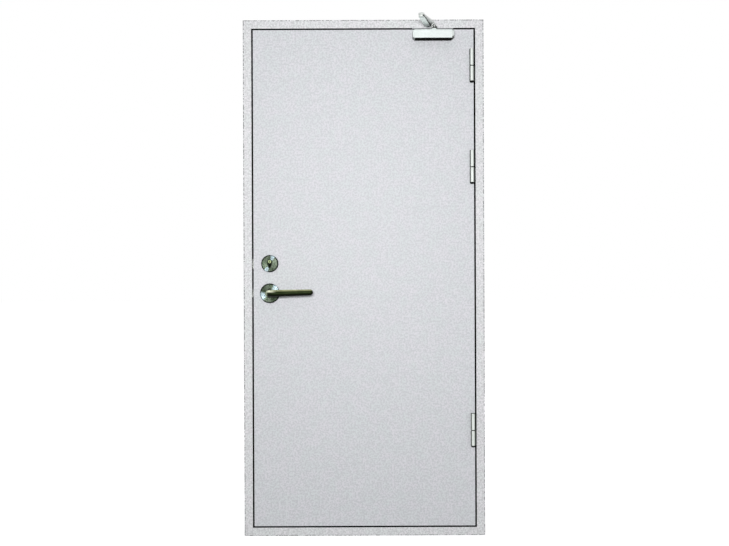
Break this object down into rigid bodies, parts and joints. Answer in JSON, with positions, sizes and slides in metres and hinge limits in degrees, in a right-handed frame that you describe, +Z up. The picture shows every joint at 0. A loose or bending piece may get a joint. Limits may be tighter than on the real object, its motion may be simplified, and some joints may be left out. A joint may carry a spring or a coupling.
{
  "type": "steel utility door",
  "caption": "Flush steel utility door in a folded steel frame with raised sill, lever handle, profile cylinder lock, lift-off hinges and a surface arm closer.",
  "frame": {"origin": "middle of the sill's flat underside, at half the frame's width and half its depth", "axes": "+X towards the hinge side, +Y into the room behind the closed leaf, +Z up; the leaf opens towards -Y"},
  "size_m": [0.98, 0.2927, 2.1],
  "materials": {
    "frame_paint": "pale grey satin paint on folded steel",
    "leaf_paint": "pale grey satin paint on steel sheet",
    "core_board": "plain filling board",
    "seal_rubber": "black soft rubber",
    "hinge_steel": "satin bright steel",
    "lock_steel": "satin steel",
    "rose_steel": "spun satin stainless steel",
    "lever_steel": "satin stainless steel",
    "cylinder_nickel": "satin nickel",
    "closer_paint": "silver white paint on a casting",
    "arm_steel": "silver paint on steel bar"
  },
  "bodies": {
    "frame": {"hinge_jamb": "frame_paint", "lock_jamb": "frame_paint", "frame_head": "frame_paint", "sill": "frame_paint", "strike_box": "frame_paint", "sill_seal": "seal_rubber", "head_seal": "seal_rubber", "lock_side_seal": "seal_rubber", "hinge_side_seal": "seal_rubber", "strike_plate": "lock_steel", "closer_shoe": "arm_steel", "top_hinge_frame_half": "hinge_steel", "top_hinge_pin": "hinge_steel", "middle_hinge_frame_half": "hinge_steel", "middle_hinge_pin": "hinge_steel", "bottom_hinge_frame_half": "hinge_steel", "bottom_hinge_pin": "hinge_steel"},
    "leaf": {"leaf_front_skin": "leaf_paint", "leaf_back_skin": "leaf_paint", "leaf_top_channel": "leaf_paint", "leaf_bottom_channel": "leaf_paint", "leaf_core": "core_board", "lock_case": "lock_steel", "lock_faceplate": "lock_steel", "latch_bolt": "lock_steel", "dead_bolt": "lock_steel", "lock_cylinder": "cylinder_nickel", "front_lever_rose": "rose_steel", "back_lever_rose": "rose_steel", "front_cylinder_rose": "rose_steel", "back_cylinder_rose": "rose_steel", "closer_body": "closer_paint", "closer_left_cap": "closer_paint", "closer_right_cap": "closer_paint", "top_hinge_door_half": "hinge_steel", "middle_hinge_door_half": "hinge_steel", "bottom_hinge_door_half": "hinge_steel"},
    "lever": {"front_lever": "lever_steel", "back_lever": "lever_steel", "lever_spindle": "lock_steel"},
    "closer_arm": {"closer_spindle": "arm_steel", "closer_main_arm": "arm_steel"},
    "closer_forearm": {"closer_forearm": "arm_steel"}
  },
  "joints": [
    {"name": "leaf_swing", "type": "hinge", "parent": "frame", "child": "leaf", "pos_m": [0.4405, -0.0645, 1.05], "axis": [0, 0, 1], "range_deg": [0, 110], "stiffness_Nm_per_rad": 6, "springref_deg": -171.89},
    {"name": "lever_turn", "type": "hinge", "parent": "leaf", "child": "lever", "pos_m": [-0.383, -0.0325, 0.9885], "axis": [0, 1, 0], "range_deg": [0, 45], "stiffness_Nm_per_rad": 1.5, "springref_deg": -45.84},
    {"name": "closer_arm_turn", "type": "hinge", "parent": "leaf", "child": "closer_arm", "pos_m": [0.288, -0.08, 2.057], "axis": [0, 0, -1], "range_deg": [0, 188]},
    {"name": "closer_forearm_turn", "type": "hinge", "parent": "frame", "child": "closer_forearm", "pos_m": [0.2615, -0.083, 2.0648], "axis": [0, 0, 1], "range_deg": [0, 63]}
  ],
  "couplings": [
    {"joint": "closer_arm_turn", "follows": "leaf_swing", "ratio": 1.6951},
    {"joint": "closer_forearm_turn", "follows": "leaf_swing", "ratio": 0.56207}
  ]
}
